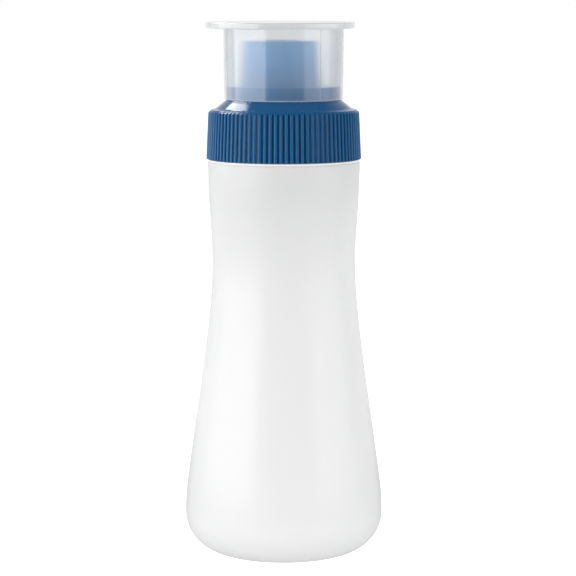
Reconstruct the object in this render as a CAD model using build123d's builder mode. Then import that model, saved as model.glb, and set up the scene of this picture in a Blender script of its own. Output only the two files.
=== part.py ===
from build123d import *
import os
from math import cos, radians, tan

# Condiment squeeze bottle standing on its base, with a screw closure and a push-on overcap.
# Millimetres, +Z up, front towards -Y. The origin is on the surface that it stands on, on its axis.

# Bottle body: outside radii, with the heights where they lie
foot_radius = 20.3
belly_radius = 35.15
belly_height = 14.5
flank_radius = 34.15
flank_height = 27.0
hip_radius = 27.4
hip_height = 76.0
waist_radius = 25.25
waist_height = 103.3
shoulder_radius = 26.8
shoulder_height = 140.4
shoulder_corner = 0.3
shoulder_groove = 0.3
shoulder_groove_depth = 0.15
shoulder_groove_drop = 0.7
body_wall = 0.9

# Bottle base: the dish that lifts its middle off the table
base_wall = 1.2
foot_ring_width = 3.8
dish_rise = 4.0
foot_round = 1.0

# Neck
neck_ledge = 4.4
neck_length = 15.2
neck_wall = 1.3
neck_root_round = 0.8
rim_round = 0.35

# Thread: two ridges that climb side by side, the same section on the neck and in the closure
thread_starts = 2
thread_lead = 9.0
thread_turns = 0.8
thread_depth = 1.5
thread_base_width = 2.4
thread_crest_width = 1.2
thread_clearance = 0.3
thread_start = 1.55
thread_embed = 0.3

# Gasket between the rim and the closure
gasket_thickness = 1.0
gasket_overhang = 0.2

# Closure: skirt, ribs, crown and sloped shoulder
closure_wall = 1.5
skirt_wall = 1.8
skirt_draft = 2.5
skirt_gap = 0.2
lead_in = 0.5
rib_count = 90
rib_height = 0.55
rib_round = 0.65
rib_crown_round = 1.1
rib_crown_drop = 0.35
rib_cover = 0.05
crown_thickness = 1.3
crown_round = 0.7
shoulder_rise = 4.75
shoulder_slope = 39.0
slope_foot_round = 2.4

# Closure: spigot that the overcap pushes onto, a step inside the neck's outside
spigot_step = 2.9
spigot_rise = 4.65
spigot_round = 0.5
spigot_bead = 0.2
spigot_bead_height = 1.2
seat_width = 0.5

# Closure: turret that the sauce leaves by, which stands a little to the left of the closure's axis
turret_offset = -1.2
turret_base_radius = 13.8
turret_rise = 15.9
turret_draft = 4.0
turret_round = 0.8

# Valve: slit head on a sleeve with a flange
valve_hole_radius = 6.2
valve_clearance = 0.3
valve_recess = 0.3
valve_wall = 0.7
valve_head_thickness = 1.2
valve_head_dish = 0.5
valve_flange_thickness = 1.2
valve_slit_length = 7.0
valve_slit_width = 0.25

# Ring that snaps into the turret under the valve
retainer_clearance = 0.2
retainer_height = 4.0
retainer_wall = 1.2
retainer_hole_radius = 7.0
snap_gap = 0.1
snap_bead = 0.6
snap_bead_height = 0.9

# Overcap: tapered skirt with a wide disc on top, which is centred over the turret
cap_clearance = 0.4
cap_wall = 1.0
cap_draft = 0.7
cap_headroom = 4.3
cap_edge_round = 0.35
disc_radius = 26.2
disc_thickness = 2.2

# Heights that follow from the sizes above, from the neck up
rim_height = shoulder_height + neck_length
deck_height = rim_height + gasket_thickness
seat_height = deck_height + shoulder_rise
spigot_height = seat_height + spigot_rise
turret_height = spigot_height + turret_rise
cap_roof = turret_height + cap_headroom
skirt_bottom = shoulder_height + skirt_gap
crown_height = deck_height + crown_thickness
rib_top = crown_height - rib_crown_drop
rib_middle = (skirt_bottom + rib_top) / 2
valve_deck = turret_height - closure_wall
retainer_top = valve_deck - valve_flange_thickness
retainer_bottom = retainer_top - retainer_height

# Radii that follow from the sizes above
dish_radius = foot_radius - foot_ring_width
neck_radius = shoulder_radius - neck_ledge
neck_bore = neck_radius - neck_wall
thread_crest_radius = neck_radius + thread_depth
closure_bore = thread_crest_radius + thread_clearance
closure_crest_radius = neck_radius + thread_clearance
root_radius = closure_bore + skirt_wall
gasket_inner_radius = neck_bore - gasket_overhang
spigot_radius = neck_radius - spigot_step
spigot_bore = spigot_radius - closure_wall
seat_radius = spigot_radius + seat_width
slope_foot_radius = seat_radius + (seat_height - crown_height) / tan(radians(shoulder_slope))
cap_bore = spigot_radius + cap_clearance

# The turret and the pieces in it are round about their own axis
turret_axis = Axis((turret_offset, 0, 0), (0, 0, 1))
turret_plane = Plane.XZ.shift_origin((turret_offset, 0, 0))

# The closure's ridges start just inside its open end, and the neck's lie half a pitch above them
closure_thread_height = skirt_bottom + thread_start
neck_thread_height = closure_thread_height + thread_lead / thread_starts / 2


def root_radius_at(height):
    """Radius between the ribs, which grows towards the open end of the skirt."""
    return root_radius + (crown_height - height) * tan(radians(skirt_draft))


def slope_height_at(radius):
    """Height of the sloped shoulder at this radius."""
    return seat_height - (radius - seat_radius) * tan(radians(shoulder_slope))


def turret_bore_at(height):
    """Inside radius of the turret, whose wall follows its outside draft."""
    turret_radius = turret_base_radius - (height - spigot_height) * tan(radians(turret_draft))
    return turret_radius - closure_wall


def circle_at(part, radius, height):
    """The circular edge of the part that lies nearest to this radius and height."""
    circles = part.edges().filter_by(GeomType.CIRCLE)
    return circles.sort_by(lambda edge: abs(edge.radius - radius) + abs(edge.center().Z - height))[0]


def body_outline(wall, floor):
    """Foot corner, flank and shoulder of the body, drawn inside the surface by the wall and the floor."""
    foot = EllipticalCenterArc(
        (foot_radius, belly_height),
        belly_radius - wall - foot_radius,
        belly_height - floor,
        start_angle=-90,
        arc_size=90,
    )
    flank = Spline(
        foot @ 1,
        (flank_radius - wall, flank_height),
        (hip_radius - wall, hip_height),
        (waist_radius - wall, waist_height),
        (shoulder_radius - wall, shoulder_height - wall - shoulder_corner),
        tangents=((0, 1), (0, 1)),
    )
    corner_end = (shoulder_radius - wall - shoulder_corner, shoulder_height - wall)
    TangentArc(flank @ 1, corner_end, tangent=(0, 1))
    return corner_end


def thread_ridges(wall_radius, crest_radius, bottom):
    """Sweep the thread's ridges from a wall to a crest, and join them to the part that is being made."""
    inward = 1 if wall_radius > crest_radius else -1
    for start in range(thread_starts):
        path = Helix(
            pitch=thread_lead,
            height=thread_lead * thread_turns,
            radius=wall_radius,
            center=(0, 0, bottom),
            mode=Mode.PRIVATE,
        ).rotate(Axis.Z, start * 360 / thread_starts)
        outward = Vector((path @ 0).X, (path @ 0).Y, 0)
        with BuildSketch(Plane(origin=path @ 0, x_dir=outward, z_dir=path % 0)) as ridge:
            with BuildLine():
                Polyline(
                    (inward * thread_embed, -thread_base_width / 2),
                    (0, -thread_base_width / 2),
                    (crest_radius - wall_radius, -thread_crest_width / 2),
                    (crest_radius - wall_radius, thread_crest_width / 2),
                    (0, thread_base_width / 2),
                    (inward * thread_embed, thread_base_width / 2),
                    close=True,
                )
            make_face()
        sweep(ridge.sketch, path=path, is_frenet=True)


# Bottle: the outside of the body and neck, less the space inside
with BuildPart() as bottle:
    with BuildSketch(Plane.XZ):
        with BuildLine():
            TangentArc((0, dish_rise), (dish_radius, 0), tangent=(1, 0))
            Line((dish_radius, 0), (foot_radius, 0))
            shoulder_end = body_outline(0, 0)
            Polyline(shoulder_end, (neck_radius, shoulder_height), (neck_radius, rim_height),
                     (0, rim_height), (0, dish_rise))
        make_face()
    revolve(axis=Axis.Z)
    fillet(circle_at(bottle, dish_radius, 0), foot_round)
    fillet(circle_at(bottle, neck_radius, shoulder_height), neck_root_round)
    with BuildSketch(Plane.XZ):
        with BuildLine():
            TangentArc((0, dish_rise + base_wall), (dish_radius, base_wall), tangent=(1, 0))
            Line((dish_radius, base_wall), (foot_radius, base_wall))
            shoulder_end = body_outline(body_wall, base_wall)
            Polyline(shoulder_end, (neck_bore, shoulder_height - body_wall), (neck_bore, rim_height),
                     (0, rim_height), (0, dish_rise + base_wall))
        make_face()
    revolve(axis=Axis.Z, mode=Mode.SUBTRACT)
    fillet(bottle.edges().group_by(Axis.Z)[-1], rim_round)
    # Fine groove that sets off a thin bead at the top of the shoulder
    with BuildSketch(Plane.XZ):
        with Locations((
            shoulder_radius + shoulder_groove - shoulder_groove_depth,
            shoulder_height - shoulder_groove_drop,
        )):
            Circle(shoulder_groove)
    revolve(axis=Axis.Z, mode=Mode.SUBTRACT)
    thread_ridges(neck_radius, thread_crest_radius, neck_thread_height)
bottle.part.label = "bottle"

# Gasket: flat ring that the closure presses onto the rim
with BuildPart() as gasket:
    with BuildSketch(Plane.XY.offset(rim_height)):
        Circle(thread_crest_radius)
        Circle(gasket_inner_radius, mode=Mode.SUBTRACT)
    extrude(amount=gasket_thickness)
gasket.part.label = "gasket"

# Ribs: round bars that lean with the skirt's draft, rounded off at the crown and cut level below
rib_cover_radius = root_radius + rib_height + rib_cover
with BuildPart() as ribs:
    with Locations((0, 0, rib_middle)):
        with PolarLocations(root_radius_at(rib_middle) + rib_height - rib_round, rib_count):
            Cylinder(rib_round, rib_top - skirt_bottom + rib_round, rotation=(0, -skirt_draft, 0))
    with BuildSketch(Plane.XZ):
        with BuildLine():
            Polyline(
                (rib_cover_radius - rib_crown_round, rib_top),
                (closure_bore, rib_top),
                (closure_bore, skirt_bottom),
                (root_radius_at(skirt_bottom) + rib_height + rib_cover, skirt_bottom),
                (rib_cover_radius, rib_top - rib_crown_round),
            )
            TangentArc(
                (rib_cover_radius, rib_top - rib_crown_round),
                (rib_cover_radius - rib_crown_round, rib_top),
                tangent=(0, 1),
            )
        make_face()
    revolve(axis=Axis.Z, mode=Mode.INTERSECT)

# Closure: skirt, shoulder, spigot and turret in one moulding
slope_wall = closure_wall / cos(radians(shoulder_slope))
ceiling_radius = seat_radius - (slope_wall - closure_wall) / tan(radians(shoulder_slope))
snap_top = retainer_bottom - snap_gap
snap_radius = turret_bore_at(snap_top) - snap_bead
with BuildPart() as closure:
    with BuildSketch(Plane.XZ):
        with BuildLine():
            Polyline(
                (closure_bore, skirt_bottom),
                (root_radius_at(skirt_bottom), skirt_bottom),
                (root_radius, crown_height),
                (slope_foot_radius, crown_height),
                (seat_radius, seat_height),
                (spigot_radius, seat_height),
                (spigot_radius, spigot_height),
                (0, spigot_height),
                (0, spigot_height - closure_wall),
                (spigot_bore, spigot_height - closure_wall),
                (spigot_bore, seat_height - closure_wall),
                (ceiling_radius, seat_height - closure_wall),
                (gasket_inner_radius, slope_height_at(gasket_inner_radius) - slope_wall),
                (gasket_inner_radius, deck_height),
                (closure_bore, deck_height),
                close=True,
            )
        make_face()
    revolve(axis=Axis.Z)
    fillet(circle_at(closure, root_radius, crown_height), crown_round)
    fillet(circle_at(closure, slope_foot_radius, crown_height), slope_foot_round)
    fillet(circle_at(closure, spigot_radius, spigot_height), spigot_round)
    chamfer(circle_at(closure, closure_bore, skirt_bottom), lead_in)
    # Turret, with a hole for the valve in its top and a bead inside that the retainer snaps over
    with BuildSketch(turret_plane):
        with BuildLine():
            Polyline(
                (0, spigot_height - closure_wall),
                (turret_base_radius, spigot_height - closure_wall),
                (turret_base_radius, spigot_height),
                (turret_bore_at(turret_height) + closure_wall, turret_height),
                (0, turret_height),
                close=True,
            )
        make_face()
    revolve(axis=turret_axis)
    fillet(circle_at(closure, turret_bore_at(turret_height) + closure_wall, turret_height), turret_round)
    with BuildSketch(turret_plane):
        with BuildLine():
            Polyline(
                (0, turret_height),
                (valve_hole_radius, turret_height),
                (valve_hole_radius, valve_deck),
                (turret_bore_at(valve_deck), valve_deck),
                (turret_bore_at(snap_top), snap_top),
                (snap_radius, snap_top),
                (turret_bore_at(snap_top - snap_bead_height), snap_top - snap_bead_height),
                (turret_base_radius - closure_wall, spigot_height - closure_wall),
                (0, spigot_height - closure_wall),
                close=True,
            )
        make_face()
    revolve(axis=turret_axis, mode=Mode.SUBTRACT)
    # Bead on the spigot that the overcap clicks over
    with BuildSketch(Plane.XZ):
        with Locations((spigot_radius, seat_height + spigot_bead_height)):
            Circle(spigot_bead)
    revolve(axis=Axis.Z)
    add(ribs.part)
    thread_ridges(closure_bore, closure_crest_radius, closure_thread_height)
closure.part.label = "closure"

# Valve: top-hat shape whose dished head is slit crosswise and opens when the bottle is squeezed
valve_radius = valve_hole_radius - valve_clearance
valve_top = turret_height - valve_recess
valve_dish = valve_top - valve_head_dish
with BuildPart() as valve:
    with BuildSketch(turret_plane):
        with BuildLine():
            TangentArc((0, valve_dish), (valve_radius, valve_top), tangent=(1, 0))
            Polyline(
                (valve_radius, valve_top),
                (valve_radius, valve_deck),
                (turret_bore_at(valve_deck) - valve_clearance, valve_deck),
                (turret_bore_at(valve_deck) - valve_clearance, retainer_top),
                (valve_radius - valve_wall, retainer_top),
                (valve_radius - valve_wall, valve_top - valve_head_thickness),
            )
            TangentArc(
                (0, valve_dish - valve_head_thickness),
                (valve_radius - valve_wall, valve_top - valve_head_thickness),
                tangent=(1, 0),
            )
            Line((0, valve_dish - valve_head_thickness), (0, valve_dish))
        make_face()
    revolve(axis=turret_axis)
    with BuildSketch(Plane.XY.offset(valve_deck - valve_flange_thickness)):
        with Locations((turret_offset, 0)):
            Rectangle(valve_slit_length, valve_slit_width)
            Rectangle(valve_slit_width, valve_slit_length)
    extrude(amount=closure_wall + valve_flange_thickness, mode=Mode.SUBTRACT)
valve.part.label = "valve"

# Valve retainer: cupped ring that holds the flange up against the top of the turret
retainer_radius = turret_bore_at(retainer_top) - retainer_clearance
with BuildPart() as valve_retainer:
    with BuildSketch(Plane.XY.offset(retainer_bottom)):
        with Locations((turret_offset, 0)):
            Circle(retainer_radius)
    extrude(amount=retainer_height)
    with BuildSketch(Plane.XY.offset(retainer_bottom)):
        with Locations((turret_offset, 0)):
            Circle(retainer_radius - retainer_wall)
    extrude(amount=retainer_height - retainer_wall, mode=Mode.SUBTRACT)
    with BuildSketch(Plane.XY.offset(retainer_bottom)):
        with Locations((turret_offset, 0)):
            Circle(retainer_hole_radius)
    extrude(amount=retainer_height, mode=Mode.SUBTRACT)
valve_retainer.part.label = "valve_retainer"

# Overcap: skirt that widens towards its disc, open below
cap_growth = (cap_roof - seat_height) * tan(radians(cap_draft))
with BuildPart() as overcap:
    with BuildSketch(Plane.XY.offset(cap_roof)):
        with Locations((turret_offset, 0)):
            Circle(disc_radius)
    extrude(amount=disc_thickness)
    fillet(overcap.edges().filter_by(GeomType.CIRCLE), cap_edge_round)
    with BuildSketch(Plane.XZ):
        with BuildLine():
            Polyline(
                (cap_bore, seat_height),
                (cap_bore + cap_wall, seat_height),
                (cap_bore + cap_wall + cap_growth, cap_roof),
                (cap_bore + cap_growth, cap_roof),
                close=True,
            )
        make_face()
    revolve(axis=Axis.Z)
    fillet(circle_at(overcap, cap_bore + cap_wall, seat_height), cap_edge_round)
    fillet(circle_at(overcap, cap_bore, seat_height), cap_edge_round)
overcap.part.label = "overcap"

os.makedirs("parts", exist_ok=True)
for piece in (bottle, gasket, closure, valve, valve_retainer, overcap):
    export_step(piece.part, f"parts/{piece.part.label}.step")
    print(piece.part.label, len(piece.part.solids()), round(piece.part.volume, 1))
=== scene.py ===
from math import cos, radians, sin, tan

import bpy
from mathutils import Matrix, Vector


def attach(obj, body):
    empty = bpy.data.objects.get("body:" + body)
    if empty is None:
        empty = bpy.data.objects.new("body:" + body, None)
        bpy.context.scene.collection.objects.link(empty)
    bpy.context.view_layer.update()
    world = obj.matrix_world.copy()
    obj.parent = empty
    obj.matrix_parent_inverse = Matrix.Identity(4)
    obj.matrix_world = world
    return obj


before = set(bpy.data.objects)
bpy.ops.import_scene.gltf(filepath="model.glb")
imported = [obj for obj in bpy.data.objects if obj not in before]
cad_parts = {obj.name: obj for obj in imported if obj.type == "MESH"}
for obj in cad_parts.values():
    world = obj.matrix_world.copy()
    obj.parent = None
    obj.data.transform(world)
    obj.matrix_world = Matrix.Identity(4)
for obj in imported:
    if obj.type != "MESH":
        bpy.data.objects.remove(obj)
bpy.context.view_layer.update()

# Bottle: body, base and threaded neck, blow-moulded in one piece from milky low-density polyethylene.
# The wall is 0.9 mm thick and lets light through, so the body looks softly lit from within; a painted glow
# adds to this.
# The mould's satin finish leaves a faint orange peel, and the blown wall is slightly uneven.
MM = 0.001
white = (1.0, 1.0, 1.0, 1.0)


def linear(hex_colour):
    """An sRGB hex colour as the linear RGBA that a shader socket takes."""
    parts = [int(hex_colour[i:i + 2], 16) / 255 for i in (1, 3, 5)]
    return tuple(c / 12.92 if c <= 0.04045 else ((c + 0.055) / 1.055) ** 2.4 for c in parts) + (1.0,)


def add(tree, kind, inputs=None, **settings):
    """Add a shader node, with its settings, and its input values or the outputs that feed them."""
    made = tree.nodes.new(kind)
    for name, value in settings.items():
        setattr(made, name, value)
    for name, value in (inputs or {}).items():
        if isinstance(value, bpy.types.NodeSocket):
            tree.links.new(value, made.inputs[name])
        else:
            made.inputs[name].default_value = value
    return made


def empty_material(name):
    """A new material with an empty node tree."""
    made = bpy.data.materials.new(name)
    made.use_nodes = True
    made.node_tree.nodes.clear()
    return made


def finish_node(name, material):
    """Give a CAD node its material."""
    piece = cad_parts[name]
    piece.data.materials.clear()
    piece.data.materials.append(material)


def ends_of(name):
    """The lowest and the highest level of a CAD node in mm."""
    levels = [corner[2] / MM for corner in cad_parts[name].bound_box]
    return min(levels), max(levels)


wall_cloud_mm = 22.0
# The peel's real grain is about half of this, which is too fine to show.
peel_grain_mm = 0.9
peel_depth_mm = 0.05
wall_wave_mm = 14.0
wave_depth_mm = 0.4
light_depth_mm = 6.0

# Levels on the bottle: the ledge that the neck stands on, and the corner and the groove just under it
neck_length_mm = 15.2
ledge_mm = ends_of("bottle")[1] - neck_length_mm
corner_mm = ledge_mm - 0.15
bead_mm = ledge_mm - 0.5
groove_mm = ledge_mm - 0.7
neck_mm = ledge_mm - 1.0
shoulder_mm = ledge_mm - 1.6
thick_wall_level_mm = 20.0
thin_wall_level_mm = 125.0

# Shares of light that the wall passes on, the painted glow of the wall with its painted highlight at the top
# corner, and the painted shade towards its outline
base_passes = 0.8
wall_passes = 0.99
neck_stops = 0.8
base_glow = 0.08
neck_glow = 0.11
corner_glow = 0.45
ledge_dims = 0.5
slant_start = 0.1
slant_end = 0.95
slant_shade = 0.25

milky_polyethylene = empty_material("milky_polyethylene_blown")
tree = milky_polyethylene.node_tree
place = add(tree, "ShaderNodeTexCoord").outputs["Object"]
height = add(tree, "ShaderNodeSeparateXYZ", {"Vector": place}).outputs["Z"]
cloud = add(tree, "ShaderNodeTexNoise", {"Vector": place, "Scale": 1 / (wall_cloud_mm * MM), "Detail": 2.0})
milk = add(tree, "ShaderNodeMix", {
    "Factor": cloud.outputs["Fac"],
    "A": linear("#FDFDFD"),
    "B": linear("#FAFBFB"),
}, data_type="RGBA")
peel = add(tree, "ShaderNodeTexNoise", {"Vector": place, "Scale": 1 / (peel_grain_mm * MM), "Detail": 3.0})
wave = add(tree, "ShaderNodeTexNoise", {"Vector": place, "Scale": 1 / (wall_wave_mm * MM), "Detail": 1.0})
rough = add(tree, "ShaderNodeMapRange", {"Value": peel.outputs["Fac"], "To Min": 0.20, "To Max": 0.28})
wave_bump = add(tree, "ShaderNodeBump", {
    "Height": wave.outputs["Fac"],
    "Strength": 0.15,
    "Distance": wave_depth_mm * MM,
})
peel_bump = add(tree, "ShaderNodeBump", {
    "Height": peel.outputs["Fac"],
    "Strength": 0.12,
    "Distance": peel_depth_mm * MM,
    "Normal": wave_bump.outputs["Normal"],
})
# Painted glow: an emission, faint all over the wall and a little stronger towards the neck, with a painted
# highlight line in the corner right under the closure that mostly stops again at the ledge.
painted_wall_glow = add(tree, "ShaderNodeMapRange", {
    "Value": height,
    "From Min": thick_wall_level_mm * MM,
    "From Max": neck_mm * MM,
    "To Min": base_glow,
    "To Max": neck_glow,
})
corner = add(tree, "ShaderNodeMapRange", {
    "Value": height,
    "From Min": groove_mm * MM,
    "From Max": bead_mm * MM,
    "To Max": corner_glow,
})
above = add(tree, "ShaderNodeMapRange", {
    "Value": height,
    "From Min": corner_mm * MM,
    "From Max": ledge_mm * MM,
    "To Max": ledge_dims,
})
painted_glow_sum = add(tree, "ShaderNodeMath", {
    0: painted_wall_glow.outputs["Result"],
    1: corner.outputs["Result"],
}, operation="ADD")
painted_glow = add(tree, "ShaderNodeMath", {
    0: painted_glow_sum.outputs[0],
    1: above.outputs["Result"],
}, operation="SUBTRACT", use_clamp=True)
# The emission of this shader is the painted glow of the wall.
milky = add(tree, "ShaderNodeBsdfPrincipled", {
    "Base Color": milk.outputs["Result"],
    "Roughness": rough.outputs["Result"],
    "IOR": 1.51,
    "Emission Color": white,
    "Emission Strength": painted_glow.outputs[0],
    "Subsurface Weight": 1.0,
    "Subsurface Radius": (1.0, 1.0, 1.0),
    "Subsurface Scale": light_depth_mm * MM,
    "Normal": peel_bump.outputs["Normal"],
})
# Painted shade towards the outline: at a slant a grey diffuse copy is mixed in, standing for the eye looking
# through more of the wall and seeing less of the light inside.
slant = add(tree, "ShaderNodeLayerWeight", {"Blend": 0.5}).outputs["Facing"]
painted_edge_shade = add(tree, "ShaderNodeMapRange", {
    "Value": slant,
    "From Min": slant_start,
    "From Max": slant_end,
    "To Max": slant_shade,
})
# This grey is the colour of the painted edge shade.
shade = add(tree, "ShaderNodeBsdfDiffuse", {"Color": linear("#A9ACAE")})
skin = add(tree, "ShaderNodeMixShader", {
    0: painted_edge_shade.outputs["Result"],
    1: milky.outputs["BSDF"],
    2: shade.outputs["BSDF"],
})
# The lamps' light passes the wall, most of it in the thin middle, and lights the far side from within.
thin = add(tree, "ShaderNodeMapRange", {
    "Value": height,
    "From Min": thick_wall_level_mm * MM,
    "From Max": thin_wall_level_mm * MM,
    "To Min": base_passes,
    "To Max": wall_passes,
})
neck = add(tree, "ShaderNodeMapRange", {
    "Value": height,
    "From Min": shoulder_mm * MM,
    "From Max": neck_mm * MM,
    "To Max": neck_stops,
})
seen = add(tree, "ShaderNodeLightPath").outputs["Is Camera Ray"]
stopped = add(tree, "ShaderNodeMath", {0: neck.outputs["Result"], 1: seen}, operation="ADD")
passing = add(tree, "ShaderNodeMath", {
    0: thin.outputs["Result"],
    1: stopped.outputs[0],
}, operation="SUBTRACT", use_clamp=True)
through = add(tree, "ShaderNodeBsdfTransparent", {"Color": white})
wall = add(tree, "ShaderNodeMixShader", {
    0: passing.outputs[0],
    1: skin.outputs["Shader"],
    2: through.outputs["BSDF"],
})
add(tree, "ShaderNodeOutputMaterial", {"Surface": wall.outputs["Shader"]})
finish_node("bottle", milky_polyethylene)

parting_low_mm = 21.0
parting_high_mm = ledge_mm - 1.4
parting_steps = 60
parting_width_mm = 0.35
parting_crest_mm = 0.09
seam_embed_mm = 0.04
ray_start_mm = 100.0


def seam(name, azimuth, outline, width, crest):
    """A fine mould line that stands up from a round surface, along its radii and levels in mm."""
    turn = radians(azimuth)
    outward = Vector((sin(turn), -cos(turn), 0.0))
    sideways = Vector((cos(turn), sin(turn), 0.0)) * (width / 2)
    corners = []
    for radius, level in outline:
        foot = outward * (radius - seam_embed_mm) + Vector((0.0, 0.0, level))
        corners += [foot - sideways, foot + outward * (crest + seam_embed_mm), foot + sideways]
    last = len(corners) - 3
    faces = [(0, 1, 2), (last + 2, last + 1, last)]
    for k in range(0, last, 3):
        faces += [(k + 1, k, k + 3, k + 4), (k + 2, k + 1, k + 4, k + 5), (k, k + 2, k + 5, k + 3)]
    mesh = bpy.data.meshes.new(name)
    mesh.from_pydata([corner * MM for corner in corners], [], faces)
    made = bpy.data.objects.new(name, mesh)
    bpy.context.scene.collection.objects.link(made)
    return made


def radius_of(piece, azimuth, level):
    """Outside radius of a piece in mm, at an azimuth right of the front and a level in mm."""
    turn = radians(azimuth)
    outward = Vector((sin(turn), -cos(turn), 0.0))
    start = outward * (ray_start_mm * MM) + Vector((0.0, 0.0, level * MM))
    place = piece.ray_cast(start, -outward)[1]
    return Vector((place.x, place.y)).length / MM


# The halves of the mould meet at the bottle's two sides and leave a line there.
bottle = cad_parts["bottle"]
for side, azimuth in (("left", -90), ("right", 90)):
    outline = []
    for step in range(parting_steps + 1):
        level = parting_low_mm + (parting_high_mm - parting_low_mm) * step / parting_steps
        outline.append((radius_of(bottle, azimuth, level), level))
    parting = seam("bottle_mould_line_" + side, azimuth, outline, parting_width_mm, parting_crest_mm)
    parting.data.materials.append(milky_polyethylene)
    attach(parting, "bottle")

# Gasket: flat ring die-cut from white foamed elastomer, trapped between the rim and the closure.
# The cut opens the foam's cells, which leaves the surface matt and finely pitted.
foam_cell_mm = 0.5
foam_depth_mm = 0.05

white_elastomer = empty_material("white_elastomer_cut")
tree = white_elastomer.node_tree
place = add(tree, "ShaderNodeTexCoord").outputs["Object"]
foam = add(tree, "ShaderNodeTexVoronoi", {"Vector": place, "Scale": 1 / (foam_cell_mm * MM)})
foam_bump = add(tree, "ShaderNodeBump", {
    "Height": foam.outputs["Distance"],
    "Strength": 0.3,
    "Distance": foam_depth_mm * MM,
})
skin = add(tree, "ShaderNodeBsdfPrincipled", {
    "Base Color": linear("#E4E3DE"),
    "Roughness": 0.7,
    "Normal": foam_bump.outputs["Normal"],
})
add(tree, "ShaderNodeOutputMaterial", {"Surface": skin.outputs["BSDF"]})
finish_node("gasket", white_elastomer)

# Closure: skirt, shoulder, spigot and turret, injection-moulded in one piece from blue polypropylene.
# The mould is polished, so the shoulder and the ribs are glossy over a deep blue.
# Painted shade darkens the grooves between the ribs and the shoulder above them, and painted light, standing
# for light through the turret's thin wall, makes the spigot and the turret paler.
flow_mm = 9.0
# The polish's real marks are finer than a tenth of a millimetre, and are drawn coarser to show.
gloss_grain_mm = 0.6
gloss_depth_mm = 0.03

# Levels on the closure, from its open end up to the ribs' ends, the cap's seat and the turret's top
closure_foot_mm, turret_peak_mm = ends_of("closure")
rib_end_mm = closure_foot_mm + 16.6
crown_mm = rib_end_mm + 0.4
seat_mm = closure_foot_mm + 20.4
ring_mm = seat_mm + 0.6
turret_height_mm = 15.9
spigot_top_mm = turret_peak_mm - turret_height_mm
turret_top_mm = turret_peak_mm - 1.9

# Depth of a groove between ribs, as a radius that the lean of the skirt is added to at each level, over
# which the painted shade in the groove fades out
skirt_lean = tan(radians(2.5))
groove_floor_mm = 32.89
groove_side_mm = 33.25
# Shares of a paler blue painted on the spigot and the turret as painted light
ring_painted_light = 0.45
turret_painted_light = 0.7

blue_polypropylene = empty_material("blue_polypropylene_moulded")
tree = blue_polypropylene.node_tree
place = add(tree, "ShaderNodeTexCoord").outputs["Object"]
height = add(tree, "ShaderNodeSeparateXYZ", {"Vector": place}).outputs["Z"]
flow = add(tree, "ShaderNodeTexNoise", {"Vector": place, "Scale": 1 / (flow_mm * MM), "Detail": 3.0})
blue = add(tree, "ShaderNodeMix", {
    "Factor": flow.outputs["Fac"],
    "A": linear("#176CA8"),
    "B": linear("#14669F"),
}, data_type="RGBA")
level_place = add(tree, "ShaderNodeVectorMath", {0: place, 1: (1.0, 1.0, 0.0)}, operation="MULTIPLY")
radius = add(tree, "ShaderNodeVectorMath", {0: level_place.outputs[0]}, operation="LENGTH")
lean = add(tree, "ShaderNodeMath", {0: height, 1: skirt_lean}, operation="MULTIPLY")
across = add(tree, "ShaderNodeMath", {0: radius.outputs["Value"], 1: lean.outputs[0]}, operation="ADD")
# Painted shade: the grooves between the ribs turn a dark blue.
groove = add(tree, "ShaderNodeMapRange", {
    "Value": across.outputs[0],
    "From Min": groove_floor_mm * MM,
    "From Max": groove_side_mm * MM,
})
plain = add(tree, "ShaderNodeMapRange", {
    "Value": height,
    "From Min": rib_end_mm * MM,
    "From Max": crown_mm * MM,
})
open_part = add(tree, "ShaderNodeMath", {
    0: groove.outputs["Result"],
    1: plain.outputs["Result"],
}, operation="MAXIMUM")
# Painted shade: the shoulder and crown above the ribs turn a darker blue.
painted_shoulder_shade = add(tree, "ShaderNodeMix", {
    "Factor": plain.outputs["Result"],
    "A": blue.outputs["Result"],
    "B": linear("#13578C"),
}, data_type="RGBA")
shaded = add(tree, "ShaderNodeMix", {
    "Factor": open_part.outputs[0],
    "A": linear("#0D4169"),
    "B": painted_shoulder_shade.outputs["Result"],
}, data_type="RGBA")
# Painted light: the blue turns paler from the cap's seat up, and paler still up the turret to its top.
ring = add(tree, "ShaderNodeMapRange", {
    "Value": height,
    "From Min": seat_mm * MM,
    "From Max": ring_mm * MM,
    "To Max": ring_painted_light,
})
turret = add(tree, "ShaderNodeMapRange", {
    "Value": height,
    "From Min": spigot_top_mm * MM,
    "From Max": turret_top_mm * MM,
    "To Max": turret_painted_light,
})
upper = add(tree, "ShaderNodeMath", {
    0: ring.outputs["Result"],
    1: turret.outputs["Result"],
}, operation="ADD")
painted_light_and_shade = add(tree, "ShaderNodeMix", {
    "Factor": upper.outputs[0],
    "A": shaded.outputs["Result"],
    "B": linear("#3AA2E6"),
}, data_type="RGBA")
grain = add(tree, "ShaderNodeTexNoise", {"Vector": place, "Scale": 1 / (gloss_grain_mm * MM), "Detail": 2.0})
rough = add(tree, "ShaderNodeMapRange", {"Value": grain.outputs["Fac"], "To Min": 0.09, "To Max": 0.14})
grain_bump = add(tree, "ShaderNodeBump", {
    "Height": grain.outputs["Fac"],
    "Strength": 0.1,
    "Distance": gloss_depth_mm * MM,
})
skin = add(tree, "ShaderNodeBsdfPrincipled", {
    "Base Color": painted_light_and_shade.outputs["Result"],
    "Roughness": rough.outputs["Result"],
    "IOR": 1.49,
    "Specular IOR Level": 0.3,
    "Normal": grain_bump.outputs["Normal"],
})
add(tree, "ShaderNodeOutputMaterial", {"Surface": skin.outputs["BSDF"]})
finish_node("closure", blue_polypropylene)

# Valve: top-hat valve moulded from clear silicone, its dished head slit crosswise after moulding.
# Silicone is soft and cloudy, with a dull bloom on it, and takes light a little way in.
silicone_bloom_mm = 1.2
silicone_depth_mm = 1.5

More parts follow.
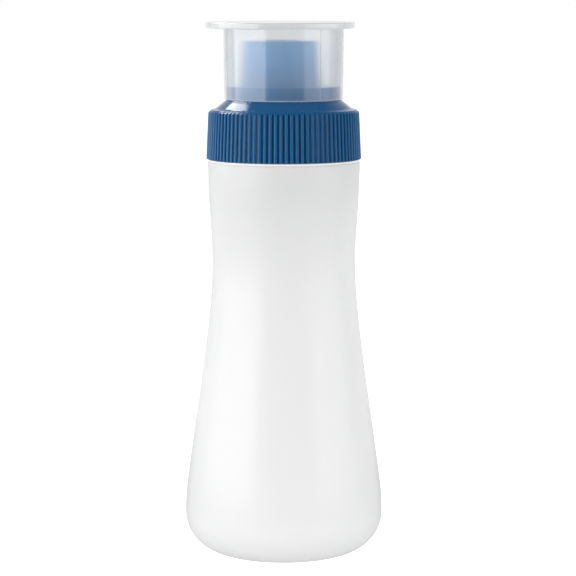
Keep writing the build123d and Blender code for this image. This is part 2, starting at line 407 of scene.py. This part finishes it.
clear_silicone = empty_material("clear_silicone_moulded")
tree = clear_silicone.node_tree
place = add(tree, "ShaderNodeTexCoord").outputs["Object"]
bloom = add(tree, "ShaderNodeTexNoise", {
    "Vector": place,
    "Scale": 1 / (silicone_bloom_mm * MM),
    "Detail": 2.0,
})
rough = add(tree, "ShaderNodeMapRange", {"Value": bloom.outputs["Fac"], "To Min": 0.35, "To Max": 0.5})
skin = add(tree, "ShaderNodeBsdfPrincipled", {
    "Base Color": linear("#E3E7E8"),
    "Roughness": rough.outputs["Result"],
    "IOR": 1.41,
    "Subsurface Weight": 0.6,
    "Subsurface Radius": (1.0, 1.0, 1.0),
    "Subsurface Scale": silicone_depth_mm * MM,
})
add(tree, "ShaderNodeOutputMaterial", {"Surface": skin.outputs["BSDF"]})
finish_node("valve", clear_silicone)

# Valve retainer: cupped ring injection-moulded from white polypropylene, snapped in under the valve.
# Its mould is machined and not polished, so it is smooth with a soft sheen.
white_polypropylene = empty_material("white_polypropylene_moulded")
tree = white_polypropylene.node_tree
place = add(tree, "ShaderNodeTexCoord").outputs["Object"]
grain = add(tree, "ShaderNodeTexNoise", {"Vector": place, "Scale": 1 / (gloss_grain_mm * MM), "Detail": 2.0})
rough = add(tree, "ShaderNodeMapRange", {"Value": grain.outputs["Fac"], "To Min": 0.28, "To Max": 0.4})
skin = add(tree, "ShaderNodeBsdfPrincipled", {
    "Base Color": linear("#EDEDEA"),
    "Roughness": rough.outputs["Result"],
    "IOR": 1.49,
})
add(tree, "ShaderNodeOutputMaterial", {"Surface": skin.outputs["BSDF"]})
finish_node("valve_retainer", white_polypropylene)

# Overcap: cup with a wide disc on top, injection-moulded in one piece from natural polypropylene.
# The mould's fine frosting scatters light, so the turret shows through it pale and slightly blurred.
# The haze is thin where the wall lies on the spigot, and thick in the disc and at the open end.

# The frosting's real grain is a few hundredths of a millimetre, and is drawn coarser to show.
frost_grain_mm = 0.35

# Levels on the overcap, from its open end up to the underside of the disc
cap_foot_mm, cap_top_mm = ends_of("overcap")
rim_low_mm = cap_foot_mm + 0.25
rim_high_mm = cap_foot_mm + 0.65
touch_mm = spigot_top_mm - 0.1
free_mm = spigot_top_mm + 0.2
disc_thickness_mm = 2.2
disc_foot_mm = cap_top_mm - disc_thickness_mm
disc_low_mm = disc_foot_mm - 0.2
disc_high_mm = disc_foot_mm + 0.2

haze_ahead = 0.23
haze_slanting = 0.55
haze_touching = 0.6
haze_rim = 0.85
haze_disc = 0.75
haze_for_lamps = 0.4
haze_sent_back = 0.4
blurred_share = 0.3
sheen_gain = 1.8

frosted_polypropylene = empty_material("frosted_polypropylene_moulded")
tree = frosted_polypropylene.node_tree
place = add(tree, "ShaderNodeTexCoord").outputs["Object"]
height = add(tree, "ShaderNodeSeparateXYZ", {"Vector": place}).outputs["Z"]
seen = add(tree, "ShaderNodeLightPath").outputs["Is Camera Ray"]
# What passes: mostly straight on, and a part of it blurred by the frosting.
clear = add(tree, "ShaderNodeBsdfTransparent", {"Color": linear("#FDFDFD")})
soft = add(tree, "ShaderNodeBsdfRefraction", {"Color": linear("#FDFDFD"), "Roughness": 0.3, "IOR": 1.12})
blur = add(tree, "ShaderNodeMapRange", {"Value": seen, "To Max": blurred_share})
passed = add(tree, "ShaderNodeMixShader", {
    0: blur.outputs["Result"],
    1: clear.outputs["BSDF"],
    2: soft.outputs["BSDF"],
})
# What the haze holds and scatters, on to the far side and back to the near one.
slant = add(tree, "ShaderNodeLayerWeight", {"Blend": 0.5}).outputs["Facing"]
thick = add(tree, "ShaderNodeMapRange", {"Value": slant, "To Min": haze_ahead, "To Max": haze_slanting})
held = add(tree, "ShaderNodeMapRange", {"Value": seen, "To Min": haze_for_lamps})
rim = add(tree, "ShaderNodeMapRange", {
    "Value": height,
    "From Min": rim_low_mm * MM,
    "From Max": rim_high_mm * MM,
    "To Min": haze_rim,
    "To Max": 0.0,
})
touching = add(tree, "ShaderNodeMapRange", {
    "Value": height,
    "From Min": touch_mm * MM,
    "From Max": free_mm * MM,
    "To Min": haze_touching,
})
disc = add(tree, "ShaderNodeMapRange", {
    "Value": height,
    "From Min": disc_low_mm * MM,
    "From Max": disc_high_mm * MM,
    "To Max": haze_disc,
})
# The disc is about twice as thick as the wall, which makes it a shade greyer.
tint = add(tree, "ShaderNodeMix", {
    "Factor": disc.outputs["Result"],
    "A": linear("#FAF9F7"),
    "B": linear("#F7F6F5"),
}, data_type="RGBA")
sent_on = add(tree, "ShaderNodeBsdfTranslucent", {"Color": tint.outputs["Result"]})
sent_back = add(tree, "ShaderNodeBsdfDiffuse", {"Color": tint.outputs["Result"]})
haze = add(tree, "ShaderNodeMixShader", {
    0: haze_sent_back,
    1: sent_on.outputs["BSDF"],
    2: sent_back.outputs["BSDF"],
})
cloudy = add(tree, "ShaderNodeMath", {
    0: thick.outputs["Result"],
    1: touching.outputs["Result"],
}, operation="MULTIPLY")
ends = add(tree, "ShaderNodeMath", {
    0: rim.outputs["Result"],
    1: disc.outputs["Result"],
}, operation="MAXIMUM")
filled = add(tree, "ShaderNodeMath", {0: cloudy.outputs[0], 1: ends.outputs[0]}, operation="MAXIMUM")
share = add(tree, "ShaderNodeMath", {
    0: filled.outputs[0],
    1: held.outputs["Result"],
}, operation="MULTIPLY")
body = add(tree, "ShaderNodeMixShader", {
    0: share.outputs[0],
    1: passed.outputs["Shader"],
    2: haze.outputs["Shader"],
})
# The sheen of the outer face: the inner face of so thin a wall adds none of its own.
frost = add(tree, "ShaderNodeTexNoise", {"Vector": place, "Scale": 1 / (frost_grain_mm * MM), "Detail": 3.0})
gloss = add(tree, "ShaderNodeMapRange", {"Value": frost.outputs["Fac"], "To Min": 0.10, "To Max": 0.16})
sheen = add(tree, "ShaderNodeBsdfGlossy", {"Color": white, "Roughness": gloss.outputs["Result"]})
facing = add(tree, "ShaderNodeFresnel", {"IOR": 1.49})
inside = add(tree, "ShaderNodeNewGeometry").outputs["Backfacing"]
outer = add(tree, "ShaderNodeMapRange", {"Value": inside, "To Min": sheen_gain, "To Max": 0.0})
mirror = add(tree, "ShaderNodeMath", {
    0: facing.outputs[0],
    1: outer.outputs["Result"],
}, operation="MULTIPLY", use_clamp=True)
skin = add(tree, "ShaderNodeMixShader", {
    0: mirror.outputs[0],
    1: body.outputs["Shader"],
    2: sheen.outputs["BSDF"],
})
add(tree, "ShaderNodeOutputMaterial", {"Surface": skin.outputs["Shader"]})
finish_node("overcap", frosted_polypropylene)

# One mould line shows on the cap's wall, to the right of the front.
cap_seam_low_mm = cap_foot_mm + 0.55
cap_seam_high_mm = disc_foot_mm - 0.1
cap_seam_azimuth = 37.3
cap_seam_width_mm = 0.5
cap_seam_crest_mm = 0.12
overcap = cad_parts["overcap"]
outline = []
for level in (cap_seam_low_mm, cap_seam_high_mm):
    outline.append((radius_of(overcap, cap_seam_azimuth, level), level))
cap_seam = seam("overcap_mould_line", cap_seam_azimuth, outline, cap_seam_width_mm, cap_seam_crest_mm)
cap_seam.data.materials.append(frosted_polypropylene)
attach(cap_seam, "overcap")

# Studio floor: white paper, lit evenly from below its surface, that keeps the bottle's faint shadow.
# For light that falls on the bottle it is grey, with a pale patch around the base and a pale far half.
floor_size = 6.0
paper_glow = 0.7
patch_glow = 0.45
patch_full = 0.06
patch_end = 0.2
far_glow = 0.8
far_full = 0.4

half = floor_size / 2
floor_corners = [(-half, -half, 0), (half, -half, 0), (half, half, 0), (-half, half, 0)]
floor_mesh = bpy.data.meshes.new("floor")
floor_mesh.from_pydata(floor_corners, [], [(0, 1, 2, 3)])
floor = bpy.data.objects.new("floor", floor_mesh)
bpy.context.scene.collection.objects.link(floor)

floor_paper = empty_material("floor_paper")
tree = floor_paper.node_tree
paper = add(tree, "ShaderNodeBsdfDiffuse", {"Color": linear("#E6E6E6")})
glow = add(tree, "ShaderNodeEmission", {"Color": white, "Strength": paper_glow})
both = add(tree, "ShaderNodeAddShader", {0: paper.outputs["BSDF"], 1: glow.outputs["Emission"]})
grey = add(tree, "ShaderNodeBsdfDiffuse", {"Color": linear("#7C7C7C")})
place = add(tree, "ShaderNodeTexCoord").outputs["Object"]
away = add(tree, "ShaderNodeVectorMath", {0: place}, operation="LENGTH")
near = add(tree, "ShaderNodeMapRange", {
    "Value": away.outputs["Value"],
    "From Min": patch_full,
    "From Max": patch_end,
    "To Min": patch_glow,
    "To Max": 0.0,
})
back = add(tree, "ShaderNodeMapRange", {
    "Value": add(tree, "ShaderNodeSeparateXYZ", {"Vector": place}).outputs["Y"],
    "From Max": far_full,
    "To Max": far_glow,
})
lit = add(tree, "ShaderNodeMath", {
    0: near.outputs["Result"],
    1: back.outputs["Result"],
}, operation="MAXIMUM")
behind = add(tree, "ShaderNodeEmission", {"Color": white, "Strength": lit.outputs[0]})
unseen = add(tree, "ShaderNodeAddShader", {0: grey.outputs["BSDF"], 1: behind.outputs["Emission"]})
sheet = add(tree, "ShaderNodeMixShader", {
    0: add(tree, "ShaderNodeLightPath").outputs["Is Camera Ray"],
    1: unseen.outputs["Shader"],
    2: both.outputs["Shader"],
})
add(tree, "ShaderNodeOutputMaterial", {"Surface": sheet.outputs["Shader"]})
floor_mesh.materials.append(floor_paper)

# Studio room: plain white to the camera, brighter behind the bottle than ahead of it and at the sides.
# Gloss finds it dark beside and ahead of the bottle, where only the softboxes shine.
room_ahead = 0.57
room_behind = 1.05
room_middle = 1.3
room_side = 0.45
gloss_ahead = 0.15
gloss_behind = 0.9

world = bpy.data.worlds.new("white_studio")
world.use_nodes = True
tree = world.node_tree
tree.nodes.clear()
ray = add(tree, "ShaderNodeLightPath")
direction = add(tree, "ShaderNodeSeparateXYZ", {
    "Vector": add(tree, "ShaderNodeTexCoord").outputs["Generated"],
})
room = add(tree, "ShaderNodeMapRange", {
    "Value": direction.outputs["Y"],
    "From Min": -0.5,
    "From Max": 0.3,
    "To Min": room_ahead,
    "To Max": room_behind,
}, interpolation_type="SMOOTHSTEP")
aside = add(tree, "ShaderNodeMath", {0: direction.outputs["X"]}, operation="ABSOLUTE")
sides = add(tree, "ShaderNodeMapRange", {
    "Value": aside.outputs[0],
    "To Min": room_middle,
    "To Max": room_side,
})
cast = add(tree, "ShaderNodeMath", {
    0: room.outputs["Result"],
    1: sides.outputs["Result"],
}, operation="MULTIPLY")
shown = add(tree, "ShaderNodeMapRange", {
    "Value": direction.outputs["Y"],
    "From Min": 0.4,
    "To Min": gloss_ahead,
    "To Max": gloss_behind,
})
rest = add(tree, "ShaderNodeMix", {
    "Factor": ray.outputs["Is Glossy Ray"],
    "A": cast.outputs[0],
    "B": shown.outputs["Result"],
})
open_to = add(tree, "ShaderNodeMath", {
    0: ray.outputs["Is Camera Ray"],
    1: ray.outputs["Is Transmission Ray"],
}, operation="MAXIMUM")
level = add(tree, "ShaderNodeMix", {
    "Factor": open_to.outputs[0],
    "A": rest.outputs["Result"],
    "B": 1.0,
})
sweep = add(tree, "ShaderNodeBackground", {"Color": white, "Strength": level.outputs["Result"]})
add(tree, "ShaderNodeOutputWorld", {"Surface": sweep.outputs["Background"]})
bpy.context.scene.world = world

# Studio lamps: a large softbox at each side of the bottle, and two that only gloss picks up.
# Their near edges leave a dark gap ahead, which draws the bands down the cap and the bottle.
lamp_distance = 0.9
lamp_aim_height = 0.16


def softbox(name, azimuth, elevation, width, height, level, gloss_only=False):
    """A lamp that faces the closure, from an azimuth right of the front and an elevation in degrees."""
    lamp = bpy.data.lights.new(name, "AREA")
    lamp.shape = "RECTANGLE"
    lamp.size = width
    lamp.size_y = height
    lamp.energy = 4 * level * width * height
    made = bpy.data.objects.new(name, lamp)
    turn = radians(azimuth)
    rise = radians(elevation)
    made.location = (
        lamp_distance * cos(rise) * sin(turn),
        -lamp_distance * cos(rise) * cos(turn),
        lamp_aim_height + lamp_distance * sin(rise),
    )
    made.rotation_euler = (radians(90) - rise, 0, turn)
    made.visible_diffuse = not gloss_only
    bpy.context.scene.collection.objects.link(made)


softbox("softbox_left", azimuth=-71, elevation=5, width=1.35, height=0.9, level=1.6)
softbox("softbox_left_rear", azimuth=-120, elevation=5, width=0.36, height=0.9, level=0.4, gloss_only=True)
softbox("softbox_right", azimuth=68, elevation=5, width=0.97, height=0.9, level=0.85)
softbox("softbox_behind", azimuth=-141, elevation=43, width=0.34, height=0.4, level=7.5, gloss_only=True)

# Camera: a long lens in front of the bottle, slightly above it and looking down a little.
# It looks at a point beside the axis, because the photographed bottle isn't in the picture's middle.
aim = (1.5 * MM, 0.0, 94.45 * MM)
camera_distance = 0.877
camera_pitch = radians(7.19)
lens_mm = 154.4
sensor_mm = 36.0

view = bpy.data.cameras.new("camera")
view.lens = lens_mm
view.sensor_width = sensor_mm
camera = bpy.data.objects.new("camera", view)
camera.location = (
    aim[0],
    aim[1] - camera_distance * cos(camera_pitch),
    aim[2] + camera_distance * sin(camera_pitch),
)
camera.rotation_euler = (radians(90) - camera_pitch, 0, 0)
bpy.context.scene.collection.objects.link(camera)
bpy.context.scene.camera = camera
bpy.context.scene.view_settings.view_transform = "Standard"
